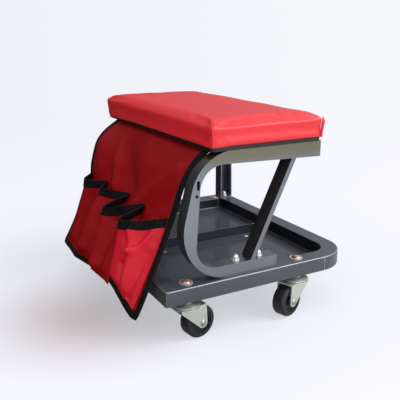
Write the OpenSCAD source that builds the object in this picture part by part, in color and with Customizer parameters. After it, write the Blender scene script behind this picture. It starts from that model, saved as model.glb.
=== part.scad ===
// Rolling creeper seat: a padded seat on two bent channel frames, a pressed tool tray on four
// swivel casters, and a hanging bag with four pockets.
// X runs along the frames, Y across the seat, Z up from the floor.

/* [Casters] */
// Diameter of the wheels over the tyre
wheel_diameter = 57; // [45:1:75]
// Width of the tyre
tyre_width = 24; // [18:1:30]
// Diameter of the rigid wheel core inside the tyre
core_diameter = 40; // [30:1:42]
// Distance of the wheel axle behind the swivel axis
caster_trail = 23; // [18:1:28]
// Outer diameter of the swivel bearing plate
race_diameter = 45; // [40:1:54]
// Thickness of the fork sheet
fork_sheet = 2.5; // [2:0.1:3.5]
// Diameter of the bolt on which a fork swivels
king_bolt = 10; // [8:1:12]
// Diameter of the wheel axle
axle_diameter = 8; // [6:1:10]
// Length of the hexagon spacer between caster and tray rim
spacer_length = 31; // [22:1:45]
// Clearance of what turns on a pin, on the radius
run_clear = 0.05; // [0.02:0.01:0.1]
// Angle to which the near left caster has swivelled
near_left_angle = 10; // [0:5:355]
// Angle to which the near right caster has swivelled
near_right_angle = 197; // [0:1:359]

/* [Tray] */
// Length of the tray
tray_length = 380; // [340:5:460]
// Width of the tray, across the seat
tray_width = 452; // [400:2:520]
// Thickness of the tray sheet
tray_sheet = 1.5; // [1:0.1:2.5]
// Width of the flat rim round the pan
rim_width = 32; // [30:1:40]
// Depth of the outer skirt
skirt_depth = 26; // [18:1:32]
// Depth of the pan below the rim
pan_depth = 23; // [12:1:28]
// Radius of the two large corners
corner_radius = 65; // [40:1:80]
// Radius of the two tight corners
tight_radius = 6; // [4:1:14]
// Height of the divider in the pan
divider_height = 20; // [8:1:26]
// Thickness of the divider sheet
divider_sheet = 1.2; // [0.8:0.1:2]
// Width of the foot that the divider stands on
divider_foot = 28; // [16:1:40]

/* [Frame] */
// Height of the C frames above the tray rim
frame_height = 211; // [180:1:260]
// Depth of the frame channel, from its web to its open side
frame_depth = 25; // [20:1:30]
// Thickness of the frame sheet
frame_sheet = 2.5; // [1.5:0.1:3]
// Distance of the frame web from the side of the tray
web_setback = 7.6; // [5:0.2:8]
// Height of the web of the lower arm
lower_web = 21; // [17:1:26]
// Height of the web of the upper arm next to its bend
upper_web = 20; // [17:1:24]
// Height of the web of the upper arm at its free end
upper_end_web = 27; // [24:1:34]
// Reach of the upper arm from the edge of the tray
upper_reach = 296; // [280:1:330]
// Reach of the lower arm from the edge of the tray
lower_reach = 213; // [200:1:260]
// Setback of the back's outer line where it meets the top of the upper arm
back_top = 64.5; // [55:0.5:75]
// Setback of the back's outer line where it meets the tray rim
back_foot = 12; // [6:0.5:20]
// Setback of the back's inner line at the upper arm
inner_top = 67; // [66:0.5:80]
// Setback of the back's inner line at the lower arm
inner_foot = 55; // [50:0.5:60]
// Outer radius of the upper bend
upper_bend = 75; // [60:1:85]
// Outer radius of the lower bend
lower_bend = 84; // [70:1:90]
// Inner radius of the upper bend
upper_inner_bend = 40; // [30:1:46]
// Inner radius of the lower bend
lower_inner_bend = 38; // [30:1:44]
// Shift of the far frame towards the edge of the tray that its back is next to
far_shift = 25; // [24:1:27]
// Setback of the outer face of the far frame's post where it meets the tray rim
post_foot = 27; // [27:0.5:32]
// Setback of the outer face of the far frame's post at the top of the upper arm
post_top = 31; // [28:0.5:40]
// Setback of the inner face of the far frame's post
post_inner = 58; // [54:0.5:58]
// Thickness of the diagonal brace, along the frame
brace_thick = 9; // [6:1:11]
// Width of the diagonal brace, across the frame
brace_width = 28; // [16:1:32]
// Reach of the brace's foot from the edge of the tray
brace_foot_reach = 161; // [157:1:164]
// Reach of the brace's head from the edge of the tray
brace_head_reach = 238; // [200:1:260]

/* [Seat] */
// Length of the seat, along the frames
seat_length = 213; // [190:1:250]
// Distance of the seat from the edge of the tray
seat_setback = 82; // [70:1:95]
// Distance of the ends of the seat from the sides of the tray
seat_end_gap = 5; // [0:1:8]
// Thickness of the seat board
board_thick = 6; // [4:1:12]
// Height of the cushion at the middle of its crown
cushion_height = 38; // [30:1:70]
// Rise of the crown above the cushion's edge seam
crown_rise = 2; // [1:1:12]
// Radius of the corners of the cushion
cushion_corner = 9; // [5:1:20]

/* [Bag] */
// Drop of the bag from the seat board to its lowest corner
bag_drop = 258; // [230:1:262]
// Thickness of the bag's padded back panel
panel_thick = 3; // [2:0.2:5]
// Width of the edge binding
binding_width = 8; // [6:1:12]
// Thickness of the binding over the panel, on each side
binding_lip = 1; // [0.5:0.1:2]
// How far the nearest pocket swells out at its mouth
near_swell = 44; // [30:1:50]
// How far the farthest pocket swells out at its mouth
far_swell = 17; // [12:1:30]
// How far the slack mouth of the nearest pocket sinks between its sewn ends
near_sag = 34; // [20:1:38]
// How far the slack mouth of the farthest pocket sinks between its sewn ends
far_sag = 16; // [8:1:20]
// Wall thickness of a pocket
pocket_wall = 2; // [1:0.1:3]

/* [Fasteners] */
// Diameter of the bolts that hold the frames to the tray
frame_bolt = 7; // [5:0.5:8]
// Thickness of the washers
washer_thick = 1.4; // [1:0.1:2]
// Diameter of the small screws and rivets
small_screw = 5; // [4:0.5:6]

/* [Hidden] */
$fn = 64;

// Overrun of a cut past the face that it opens
overrun = 1;
// Largest angle between two points of a rounded corner
arc_step = 5;
// Clearance of a bolt in its hole, on the radius
bolt_clear = 0.25;

// Heights of the caster's parts, from the floor up
crown_gap = 2;
crown_bottom = wheel_diameter + crown_gap;
crown_top = crown_bottom + fork_sheet;
bearing_height = 2.1;
race_bottom = crown_top + bearing_height + run_clear;
race_lip = 1.6;
race_height = 5;
race_top = race_bottom + race_height;
rim_top = race_top + spacer_length + tray_sheet;
rim_under = rim_top - tray_sheet;
floor_top = rim_top - pan_depth;

// Heights of the frame and the seat
board_bottom = rim_top + frame_height;
board_top = board_bottom + board_thick;

// Places of the casters: the two on the far side are the near ones turned end for end
caster_inset = 45;
corner_caster_inset = 115;
caster_side_inset = 20.5;
mid_y = tray_width / 2;
tray_centre = [tray_length / 2, mid_y];
near_left = [caster_inset, caster_side_inset];
near_right = [tray_length - corner_caster_inset, caster_side_inset];
far_right = 2 * tray_centre - near_left;
far_left = 2 * tray_centre - near_right;
caster_places = [near_left, near_right, far_left, far_right];
half_turn = 180;
far_left_angle = near_right_angle + half_turn;
far_right_angle = near_left_angle + half_turn;

// The far frame's turning point
turn_centre = [(tray_length + far_shift) / 2, mid_y];

// Rounded outlines: each corner becomes an arc that touches both its sides
function arc_corner(a, b, c, r) =
    let (
        u = (a - b) / norm(a - b),
        v = (c - b) / norm(c - b),
        half = acos(u * v) / 2,
        centre = b + (u + v) / norm(u + v) * r / sin(half),
        first = b + u * r / tan(half) - centre,
        last = b + v * r / tan(half) - centre,
        start = atan2(first.y, first.x),
        full = atan2(last.y, last.x) - start,
        sweep = full > 180 ? full - 360 : full < -180 ? full + 360 : full,
        steps = ceil(abs(sweep) / arc_step)
    )
    r <= 0 ? [b] : [for (i = [0 : steps])
        centre + r * [cos(start + sweep * i / steps), sin(start + sweep * i / steps)]];

function rounded(points, radii) =
    let (n = len(points))
    [for (i = [0 : n - 1])
        each arc_corner(points[(i + n - 1) % n], points[i], points[(i + 1) % n], radii[i])];

function left_of(a, b) = [a.y - b.y, b.x - a.x] / norm(b - a);

// Corners of a counter-clockwise outline moved inward, or outward for a negative distance
function inset(points, d) =
    let (n = len(points))
    [for (i = [0 : n - 1])
        let (
            b = points[i],
            m = left_of(points[(i + n - 1) % n], b),
            k = left_of(b, points[(i + 1) % n])
        )
        b + (m + k) * d / (1 + m * k)];

function rectangle(p, q) = [p, [q.x, p.y], q, [p.x, q.y]];

// Tray: rim, skirt, pan walls and floor, pressed from one sheet
pan_corner = 12;
tray_corners = rectangle([0, 0], [tray_length, tray_width]);
tray_radii = [tight_radius, corner_radius, tight_radius, corner_radius];
pan_round = max(corner_radius - rim_width, pan_corner);
pan_radii = [pan_corner, pan_round, pan_corner, pan_round];
skirt_split = 2;

function grown(radii, d) = [for (r = radii) r + d];

module tray_outline(d) {
    polygon(rounded(inset(tray_corners, d), grown(tray_radii, -d)));
}

module pan_outline(d) {
    polygon(rounded(inset(tray_corners, rim_width + d), grown(pan_radii, -d)));
}

// The near skirt and the round corner beside it part at a narrow slit, and so do the far ones
module skirt_slit() {
    translate([tray_length - corner_radius, -overrun, rim_top - skirt_depth - overrun])
        cube([skirt_split, tray_sheet + 2 * overrun, skirt_depth - tray_sheet + overrun]);
}

module tray() {
    color("#3d4148")
    difference() {
        union() {
            translate([0, 0, rim_under])
                linear_extrude(tray_sheet) difference() {
                    tray_outline(0);
                    pan_outline(0);
                }
            translate([0, 0, rim_top - skirt_depth])
                linear_extrude(skirt_depth) difference() {
                    tray_outline(0);
                    tray_outline(tray_sheet);
                }
            translate([0, 0, floor_top - tray_sheet])
                linear_extrude(pan_depth + tray_sheet) difference() {
                    pan_outline(-tray_sheet);
                    pan_outline(0);
                }
            translate([0, 0, floor_top - tray_sheet])
                linear_extrude(tray_sheet) pan_outline(-tray_sheet / 2);
        }
        skirt_slit();
        turned(tray_centre) skirt_slit();
        for (place = caster_places)
            translate([place.x, place.y, rim_under - overrun])
                cylinder(r = king_bolt / 2 + bolt_clear, h = tray_sheet + 2 * overrun);
        for (f = frame_fixings) on_side(f[0]) translate([f[1], channel_mid, 0])
            translate([0, 0, rim_under - overrun])
                cylinder(r = frame_bolt / 2 + bolt_clear, h = tray_sheet + 2 * overrun);
        at_divider_rivets()
            translate([0, 0, floor_top - tray_sheet - overrun])
                cylinder(d = small_screw, h = tray_sheet + 2 * overrun);
    }
}

// Divider: an angle strip across the middle of the pan, riveted by its foot
divider_start = rim_width + pan_corner;
divider_length = tray_length - 2 * divider_start;
rivet_inset = 52;

module at_divider_rivets() {
    for (x = [divider_start + rivet_inset, tray_length - divider_start - rivet_inset])
        translate([x, mid_y - divider_foot / 2]) children();
}

module tray_divider() {
    color("#454a52")
    difference() {
        translate([divider_start, mid_y, floor_top]) {
            cube([divider_length, divider_sheet, divider_height]);
            translate([0, -divider_foot, 0])
                cube([divider_length, divider_foot + divider_sheet, divider_sheet]);
        }
        at_divider_rivets()
            translate([0, 0, floor_top - overrun])
                cylinder(d = small_screw, h = divider_sheet + 2 * overrun);
    }
}

module divider_rivets() {
    color("#b9bec4")
    at_divider_rivets() {
        translate([0, 0, floor_top - tray_sheet])
            cylinder(d = small_screw, h = tray_sheet + divider_sheet);
        translate([0, 0, floor_top + divider_sheet])
            low_dome(small_screw, small_screw / 3);
    }
}

// A round head: a ball's cap of a radius and a height, flat side down
module low_dome(radius, height) {
    ball = (radius * radius + height * height) / (2 * height);
    rotate_extrude() intersection() {
        translate([0, height - ball]) circle(r = ball);
        square([radius, height]);
    }
}

// Frames: a channel with its web outside, its flanges turned in, and deeper at the upper arm's end. The
// near one is a C whose back bends into a lower arm, the far one's back is a post with a closed foot
post_bend = 5;

function outer_radii(post) = [0, 0, upper_bend, post ? post_bend : lower_bend];
function inner_radii(post) = [0, 0, upper_inner_bend, post ? 0 : lower_inner_bend];

function frame_outer(end, post) = [
    [end, 0], [end, frame_height],
    [post ? post_top : back_top, frame_height], [post ? post_foot : back_foot, 0]];

function frame_inner(end, post) =
    let (under = post ? -overrun : lower_web, back = post ? post_inner : inner_top)
    [
        [end, under], [end, frame_height - upper_end_web],
        [back, arm_under(back)], [post ? post_inner : inner_foot, under]];

// Height of the underside of the upper arm's web above the rim
function arm_under(x) =
    let (slope = (upper_end_web - upper_web) / (upper_reach + overrun - inner_top))
    frame_height - upper_web - slope * (x - inner_top);

module frame_face(t, post) {
    cut = t > 0 ? overrun + t : 0;
    difference() {
        polygon(rounded(inset(frame_outer(upper_reach + cut, post), t), grown(outer_radii(post), -t)));
        polygon(rounded(inset(frame_inner(upper_reach + overrun, post), -t),
                        grown(inner_radii(post), t)));
    }
}

slot_width = 5;
slot_length = 10;
slot_drop = 50;
slot_setback = 61;
slot_hole_gap = 12;

module frame_channel(post) {
    slot_reach = post ? (post_top + post_inner) / 2 : slot_setback;
    difference() {
        linear_extrude(frame_depth) frame_face(0, post);
        translate([0, 0, -overrun])
            linear_extrude(frame_depth - frame_sheet + overrun) frame_face(frame_sheet, post);
        translate([lower_reach, -overrun, -overrun])
            cube([upper_reach, frame_height / 2, frame_depth + 2 * overrun]);
        translate([slot_reach, frame_height - slot_drop, 0]) {
            for (y = [-slot_length / 2, slot_length / 2])
                translate([0, y, 0]) cylinder(d = slot_width, h = frame_depth + overrun);
            translate([-slot_width / 2, -slot_length / 2, 0])
                cube([slot_width, slot_length, frame_depth + overrun]);
            translate([-slot_width / 2, -slot_length / 2 - slot_hole_gap, 0])
                cylinder(d = slot_width, h = frame_depth + overrun);
        }
    }
}

// Sheet of the braces, their inset from the web, and the length of the tab that the far one stands on
brace_sheet = 2;
brace_inset = 1.5;
brace_tab = 34;

// Bolts of the frames: on the far side or not, their reach, and the height that they clamp
post_bolt_reach = 42.5;
tab_bolt_reach = 141;
frame_fixings = [
    [false, 138, lower_web], [false, 183, lower_web],
    [true, post_bolt_reach, frame_sheet], [true, tab_bolt_reach, brace_sheet]];
seat_screw_reach = [155, 262];
channel_mid = web_setback + (frame_depth + frame_sheet) / 2;

module turned(centre) {
    translate(centre) rotate(half_turn) translate(-centre) children();
}

module both_sides() {
    children();
    turned(turn_centre) children();
}

module on_side(far) {
    if (far) turned(turn_centre) children(); else children();
}

// Holes for the bolts of one frame, through what they clamp
module fixing_holes(far) {
    for (f = frame_fixings)
        if (f[0] == far)
            translate([f[1], channel_mid, rim_top - overrun])
                cylinder(r = frame_bolt / 2 + bolt_clear, h = f[2] + 2 * overrun);
}

module at_seat_screws() {
    both_sides()
        for (x = seat_screw_reach) translate([x, channel_mid]) children();
}

module frame(post) {
    color("#2f3238")
    difference() {
        translate([0, web_setback + frame_depth, rim_top]) rotate([90, 0, 0]) frame_channel(post);
        fixing_holes(post);
        for (x = seat_screw_reach)
            translate([x, channel_mid, board_bottom - frame_sheet - overrun])
                cylinder(r = small_screw / 2 + bolt_clear, h = frame_sheet + 2 * overrun);
    }
}

module near_frame() { frame(false); }

module far_frame() { turned(turn_centre) frame(true); }

// Brace: a shallow channel under the upper arm, its open side to the free end. The near one is welded to
// the lower arm, the far one stands on the rim on a tab
module brace_face(left, right, under) {
    foot = brace_foot_reach;
    head = brace_head_reach;
    polygon([
        [foot + left, under], [foot + right, under],
        [head + right, arm_under(head + right)], [head + left, arm_under(head + left)]]);
}

module brace(tab) {
    under = tab ? 0 : lower_web;
    color("#26282d")
    difference() {
        translate([0, web_setback + brace_inset + brace_width, rim_top]) rotate([90, 0, 0]) {
            difference() {
                linear_extrude(brace_width) brace_face(0, brace_thick, under);
                translate([0, 0, brace_sheet])
                    linear_extrude(brace_width - 2 * brace_sheet)
                        brace_face(brace_sheet, brace_thick + overrun, under);
            }
            if (tab)
                translate([brace_foot_reach - brace_tab, 0, 0])
                    cube([brace_tab + brace_thick, brace_sheet, brace_width]);
        }
        if (tab) fixing_holes(tab);
    }
}

module near_brace() { brace(false); }

module far_brace() { turned(turn_centre) brace(true); }

// Fasteners of the frames: bolts up through the rim and what they clamp, washers and domed nuts on top
frame_head_height = 4;
frame_washer_radius = frame_bolt * 1.15;
frame_nut_radius = frame_bolt * 0.92;
frame_nut_hex = frame_bolt * 0.7;

module frame_bolts() {
    color("#c4c9cd")
    for (f = frame_fixings) on_side(f[0]) translate([f[1], channel_mid, 0]) {
        translate([0, 0, rim_under - frame_head_height])
            cylinder(d = 2 * frame_bolt, h = frame_head_height);
        translate([0, 0, rim_under])
            cylinder(d = frame_bolt, h = tray_sheet + f[2] + washer_thick + frame_nut_hex);
    }
}

module frame_washers() {
    color("#d3d7d9")
    for (f = frame_fixings) on_side(f[0])
        translate([f[1], channel_mid, rim_top + f[2]]) difference() {
            cylinder(r = frame_washer_radius, h = washer_thick);
            translate([0, 0, -overrun])
                cylinder(r = frame_bolt / 2 + bolt_clear, h = washer_thick + 2 * overrun);
        }
}

module frame_nuts() {
    color("#d9dcdd")
    for (f = frame_fixings) on_side(f[0])
        translate([f[1], channel_mid, rim_top + f[2] + washer_thick]) difference() {
            union() {
                cylinder(r = frame_nut_radius, h = frame_nut_hex, $fn = 6);
                translate([0, 0, frame_nut_hex])
                    low_dome(frame_nut_radius * 0.84, frame_nut_radius * 0.7);
            }
            translate([0, 0, -overrun]) cylinder(d = frame_bolt, h = frame_nut_hex + overrun);
        }
}

// Seat: a board on the upper arms and a boxed cushion on the board
seat_low = [seat_setback, seat_end_gap];
seat_high = [seat_setback + seat_length, tray_width - seat_end_gap];
screw_depth = board_thick * 0.7;

module seat_board() {
    color("#1b1b1d")
    difference() {
        translate([0, 0, board_bottom])
            linear_extrude(board_thick)
                polygon(rounded(rectangle(seat_low, seat_high), [for (i = [0 : 3]) cushion_corner]));
        at_seat_screws()
            translate([0, 0, board_bottom - overrun])
                cylinder(d = small_screw, h = screw_depth + overrun);
        at_bag_screws()
            translate([0, 0, board_bottom - overrun])
                cylinder(d = small_screw, h = screw_depth + overrun);
    }
}

module seat_screws() {
    head = small_screw * 0.5;
    color("#c4c9cd")
    at_seat_screws() {
        translate([0, 0, board_bottom - frame_sheet - head])
            cylinder(d = 2 * small_screw, h = head);
        translate([0, 0, board_bottom - frame_sheet])
            cylinder(d = small_screw, h = frame_sheet + screw_depth);
    }
}

// Cushion loops from the board up: height as a share, and how far each is drawn in
wall_share = (cushion_height - crown_rise) / cushion_height;
side_height_shares = [0, 0.12, 0.35, 0.65, 0.88, 1];
side_pull_shares = [0.8, 0.25, 0, 0, 0.2, 0.7];
side_pull = 2.5;
crown_shares = [0.07, 0.16, 0.3, 0.5, 0.75];
crown_power = 3;

function cushion_loop(pull, z) =
    let (corners = inset(rectangle(seat_low, seat_high), pull))
    [for (p = rounded(corners, [for (i = [0 : 3]) max(cushion_corner - pull, cushion_corner / 4)]))
        [p.x, p.y, z]];

// A loop of the crown: the edge loop shrunk towards the middle of the seat
function crown_loop(share) =
    let (
        middle = (seat_low + seat_high) / 2,
        rise = crown_rise * (1 - pow(1 - share, crown_power)),
        edge = cushion_loop(side_pull * side_pull_shares[5], board_top)
    )
    [for (p = edge) [
        middle.x + (p.x - middle.x) * (1 - share),
        middle.y + (p.y - middle.y) * (1 - share),
        board_top + cushion_height * wall_share + rise]];

cushion_loops = concat(
    [for (i = [0 : 5]) cushion_loop(
        side_pull * side_pull_shares[i],
        board_top + cushion_height * wall_share * side_height_shares[i])],
    [for (share = crown_shares) crown_loop(share)]);

// A closed solid through loops of equally many points, from its lowest loop to its highest
module lofted(loops, low_end, high_end) {
    n = len(loops[0]);
    last = len(loops) - 1;
    points = concat([for (l = loops) each l], [low_end, high_end]);
    faces = concat(
        [for (k = [0 : last - 1]) for (i = [0 : n - 1])
            let (a = k * n + i, b = k * n + (i + 1) % n) each [[a, a + n, b], [b, a + n, b + n]]],
        [for (i = [0 : n - 1]) [i, (i + 1) % n, len(points) - 2]],
        [for (i = [0 : n - 1]) [last * n + (i + 1) % n, last * n + i, len(points) - 1]]);
    polyhedron(points, faces);
}

module seat_cushion() {
    middle = (seat_low + seat_high) / 2;
    color("#d9323f")
    lofted(cushion_loops,
        [middle.x, middle.y, board_top], [middle.x, middle.y, board_top + cushion_height]);
}

// Bag: its front line in the plane of the frames, from the flap under the board to the hem
flap_tuck = 48;
flap_inset = 23;
knee_reach = 42;
knee_drop = 76;
hem_reach = 123;
flap_start = seat_setback + flap_tuck;
flap_end = seat_setback + flap_inset;
knee = [seat_setback - knee_reach, board_bottom - knee_drop];
hem = [seat_setback - hem_reach, board_bottom - bag_drop];
flap_lead = 26;
knee_lead = [10, 34];
hem_lead = [36, 70];
bend_steps = 9;
drop_steps = 22;

function bezier(a, b, c, d, t) =
    a * pow(1 - t, 3) + 3 * b * pow(1 - t, 2) * t + 3 * c * (1 - t) * t * t + d * pow(t, 3);

flap_point = [flap_end, board_bottom];
bend_line = [for (i = [0 : bend_steps]) bezier(
    flap_point, flap_point - [flap_lead, 0], knee + knee_lead, knee, i / bend_steps)];
drop_line = [for (i = [1 : drop_steps]) bezier(
    knee, knee - knee_lead, hem + hem_lead, hem, i / drop_steps)];
tail_way = (drop_line[drop_steps - 1] - drop_line[drop_steps - 2])
    / norm(drop_line[drop_steps - 1] - drop_line[drop_steps - 2]);
tail = hem + tail_way * binding_width;
front_line = concat([[flap_start, board_bottom]], bend_line, drop_line, [tail]);
line_last = len(front_line) - 1;

// Direction out of the bag's front at a point of the line: up at the flap, outward below
function out_of(i) =
    let (d = front_line[min(i + 1, line_last)] - front_line[max(i - 1, 0)])
    [d.y, -d.x] / norm(d);

function shifted(d) = [for (i = [0 : line_last])
    front_line[i] + (i <= 1 ? [0, min(d, 0)] : out_of(i) * d)];

// A slab between two distances from the front line, across the whole bag
bag_gap = 1.4;
bag_near = web_setback + frame_depth + bag_gap;
bag_far = tray_width - bag_near;

module bag_slab(back, front) {
    back_line = shifted(back);
    translate([0, bag_far + overrun, 0]) rotate([90, 0, 0])
        linear_extrude(bag_far - bag_near + 2 * overrun)
            polygon(concat(shifted(front), [for (i = [line_last : -1 : 0]) back_line[i]]));
}

// Outline of the bag seen from its front: the hem rises from a low near corner
hem_shares = [[0.06, 0], [0.17, 0.14], [0.46, 0.1], [0.76, 0.04], [1, 0.02]];
bag_span = bag_far - bag_near;
bag_base = board_bottom - bag_drop;

bag_outline = concat(
    [[bag_near, bag_base]],
    [for (s = hem_shares) [bag_near + bag_span * s.x, bag_base + bag_drop * s.y]],
    [[bag_far, board_bottom + 2 * binding_width], [bag_near, board_bottom + 2 * binding_width]]);

module through_bag() {
    rotate([90, 0, 90]) translate([0, 0, -tray_length]) linear_extrude(2 * tray_length) children();
}

module bag_panel() {
    color("#a51c2b")
    difference() {
        intersection() {
            bag_slab(-panel_thick, 0);
            through_bag() polygon(inset(bag_outline, binding_width));
        }
        at_bag_screws()
            translate([0, 0, board_bottom - panel_thick - overrun])
                cylinder(d = small_screw, h = panel_thick + 2 * overrun);
    }
}

module bag_binding() {
    color("#141416")
    intersection() {
        bag_slab(-panel_thick - binding_lip, binding_lip);
        through_bag() difference() {
            polygon(bag_outline);
            polygon(inset(bag_outline, binding_width));
        }
    }
}

bag_screw_shares = [0.2, 0.5, 0.8];
bag_screw_inset = 12;
bag_screw_reach = flap_end + bag_screw_inset;

module at_bag_screws() {
    for (s = bag_screw_shares) translate([bag_screw_reach, bag_near + bag_span * s]) children();
}

module bag_screws() {
    head = small_screw * 0.5;
    color("#c4c9cd")
    at_bag_screws() {
        translate([0, 0, board_bottom - panel_thick - head])
            cylinder(d = 2 * small_screw, h = head);
        translate([0, 0, board_bottom - panel_thick])
            cylinder(d = small_screw, h = panel_thick + screw_depth);
    }
}

// Pockets: slack fronts that swell out from the panel between their sewn edges, open at the mouth
pocket_count = 4;
pocket_top_row = bend_steps + 7;
pocket_bottom_rows = [bend_steps + 18, bend_steps + 18, bend_steps + 19, bend_steps + 20];
pocket_steps = 12;
pocket_gap_share = 0.012;
column_shares = [0, 0.06, 0.15, 0.3, 0.45, 0.6, 0.74, 0.86, 0.95, 1];
swell_shares = [0, 0, 0.25, 0.52, 0.76, 0.94, 1, 0.86, 0, 0];
slack_shares = [0, 0.3, 0.9, 1];
full_share = 0.2;
swell_power = 0.8;

pocket_start = bag_near + binding_width;
pocket_pitch = (bag_span - 2 * binding_width) / pocket_count;
row_length = norm(front_line[pocket_top_row + 1] - front_line[pocket_top_row]);

// A point at a distance from the front line, at a row that may lie between two of its points
function off_line(row, d) =
    let (
        i = min(floor(row), line_last - 1),
        a = front_line[i] + out_of(i) * d,
        b = front_line[i + 1] + out_of(i + 1) * d
    )
    a + (b - a) * (row - i);

// How far a pocket swells at a share of its depth: full at the mouth, flat where it is sewn
function swell_at(k, share) =
    let (full = near_swell + (far_swell - near_swell) * slack_shares[k])
    share >= 1 - 1 / pocket_steps ? 0
        : full * pow(sin(90 * min((1 - share) / (1 - full_share), 1)), swell_power);

// A pocket's front across the bag: place along the bag and distance from the panel
function pocket_section(k, share, d) =
    let (
        width = pocket_pitch * (1 - 2 * pocket_gap_share),
        start = pocket_start + pocket_pitch * (k + pocket_gap_share),
        line = [for (c = [0 : len(column_shares) - 1])
            [start + width * column_shares[c], swell_at(k, share) * swell_shares[c]]]
    )
    [for (c = [0 : len(line) - 1])
        let (way = line[min(c + 1, len(line) - 1)] - line[max(c - 1, 0)])
        line[c] + [-way.y, way.x] / norm(way) * d];

// Points of a pocket's front, row by row, at a distance from its inside; the slack mouth sinks
function pocket_grid(k, shares, d) = [for (share = shares)
    let (
        sag = near_sag + (far_sag - near_sag) * slack_shares[k],
        section = pocket_section(k, share, d),
        depth = pocket_bottom_rows[k] - pocket_top_row
    )
    [for (c = [0 : len(section) - 1])
        let (
            sunk = sag / row_length * swell_shares[c] * (1 - share),
            p = off_line(pocket_top_row + depth * share + sunk, section[c].y)
        )
        [p.x, section[c].x, p.y]]];

// A closed shell between two grids of points, the inner one first
module shell(inner, outer) {
    rows = len(inner);
    cols = len(inner[0]);
    n = rows * cols;
    points = concat([for (r = inner) each r], [for (r = outer) each r]);
    function at(r, c) = r * cols + c;
    function quad(a, b, c, d) = [[a, b, c], [a, c, d]];
    faces = concat(
        [for (r = [0 : rows - 2]) for (c = [0 : cols - 2])
            each quad(at(r, c), at(r, c + 1), at(r + 1, c + 1), at(r + 1, c))],
        [for (r = [0 : rows - 2]) for (c = [0 : cols - 2])
            each quad(n + at(r, c), n + at(r + 1, c), n + at(r + 1, c + 1), n + at(r, c + 1))],
        [for (c = [0 : cols - 2])
            each quad(at(0, c), n + at(0, c), n + at(0, c + 1), at(0, c + 1))],
        [for (c = [0 : cols - 2])
            each quad(at(rows - 1, c), at(rows - 1, c + 1), n + at(rows - 1, c + 1), n + at(rows - 1, c))],
        [for (r = [0 : rows - 2])
            each quad(at(r, 0), at(r + 1, 0), n + at(r + 1, 0), n + at(r, 0))],
        [for (r = [0 : rows - 2])
            each quad(at(r, cols - 1), n + at(r, cols - 1), n + at(r + 1, cols - 1), at(r + 1, cols - 1))]);
    polyhedron(points, faces);
}

depth_shares = [for (i = [0 : pocket_steps]) i / pocket_steps];
mouth_shares = [0, 1 / pocket_steps];

module pocket(k) {
    color("#b3202f")
        shell(pocket_grid(k, depth_shares, 0), pocket_grid(k, depth_shares, pocket_wall));
}

module pocket_1() { pocket(0); }

module pocket_2() { pocket(1); }

module pocket_3() { pocket(2); }

module pocket_4() { pocket(3); }

module pocket_bindings() {
    color("#141416")
    for (k = [0 : pocket_count - 1])
        shell(
            pocket_grid(k, mouth_shares, pocket_wall),
            pocket_grid(k, mouth_shares, pocket_wall + binding_lip));
}

// Casters: fixed bearing plate, swivelling fork, axle, wheel core and tyre
boss_diameter = race_diameter * 0.62;
wheel_side_gap = 1.5;
core_side_gap = 0.15;
leg_gap = tyre_width / 2 + wheel_side_gap;
leg_round = 9;
leg_edge_angle = 40;
shoulder = 7;
axle_head = 3;
axle_height = wheel_diameter / 2;

module at_caster(place, angle) {
    translate([place.x, place.y, 0]) rotate(angle) children();
}

module race() {
    color("#b9bdb6")
    rotate_extrude() {
        bore = king_bolt / 2 + bolt_clear;
        polygon([
            [bore, race_bottom], [race_diameter / 2, race_bottom],
            [race_diameter / 2, race_bottom + race_lip], [boss_diameter / 2, race_top],
            [bore, race_top]]);
    }
}

// One cheek of the fork, drawn from the side with the swivel axis at zero
module fork_cheek() {
    difference() {
        union() {
            polygon([
                [-race_diameter / 2 + fork_sheet, crown_top],
                [-race_diameter / 2 + fork_sheet, crown_bottom - fork_sheet],
                [caster_trail - leg_round * cos(leg_edge_angle),
                    axle_height - leg_round * sin(leg_edge_angle)],
                [caster_trail + leg_round, axle_height],
                [caster_trail + shoulder, crown_top]]);
            translate([caster_trail, axle_height]) circle(r = leg_round);
        }
        translate([caster_trail, axle_height]) circle(r = axle_diameter / 2);
    }
}

module fork() {
    bearing = race_diameter * 0.84;
    color("#c3c7c0")
    difference() {
        union() {
            translate([0, 0, crown_bottom]) cylinder(d = race_diameter, h = fork_sheet);
            translate([0, 0, crown_bottom]) cylinder(d = bearing, h = fork_sheet + bearing_height);
            translate([-race_diameter / 2 + fork_sheet, -leg_gap - fork_sheet, crown_bottom])
                cube([race_diameter / 2 + caster_trail + shoulder - fork_sheet,
                    2 * (leg_gap + fork_sheet), fork_sheet]);
            for (y = [-leg_gap, leg_gap + fork_sheet])
                translate([0, y, 0]) rotate([90, 0, 0]) linear_extrude(fork_sheet) fork_cheek();
        }
        translate([0, 0, crown_bottom - overrun])
            cylinder(r = king_bolt / 2 + run_clear, h = fork_sheet + bearing_height + 2 * overrun);
    }
}

module axle() {
    length = 2 * (leg_gap + fork_sheet);
    color("#aeb3b5")
    translate([caster_trail, 0, axle_height]) rotate([90, 0, 0]) {
        cylinder(d = axle_diameter, h = length, center = true);
        for (side = [0, 1]) mirror([0, 0, side])
            translate([0, 0, length / 2]) low_dome(axle_diameter * 0.75, axle_head);
    }
}

module wheel_core() {
    color("#232427")
    translate([caster_trail, 0, axle_height]) rotate([90, 0, 0])
    rotate_extrude() {
        bore = axle_diameter / 2 + run_clear;
        hub = axle_diameter;
        rim = core_diameter / 2;
        dish = core_diameter * 0.075;
        half = tyre_width / 2 - wheel_side_gap;
        ends = leg_gap - core_side_gap;
        polygon([
            [bore, -ends], [hub, -ends], [hub, -half + dish], [rim - dish, -half + dish],
            [rim - dish, -half], [rim, -half], [rim, half], [rim - dish, half],
            [rim - dish, half - dish], [hub, half - dish], [hub, ends], [bore, ends]]);
    }
}

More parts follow.
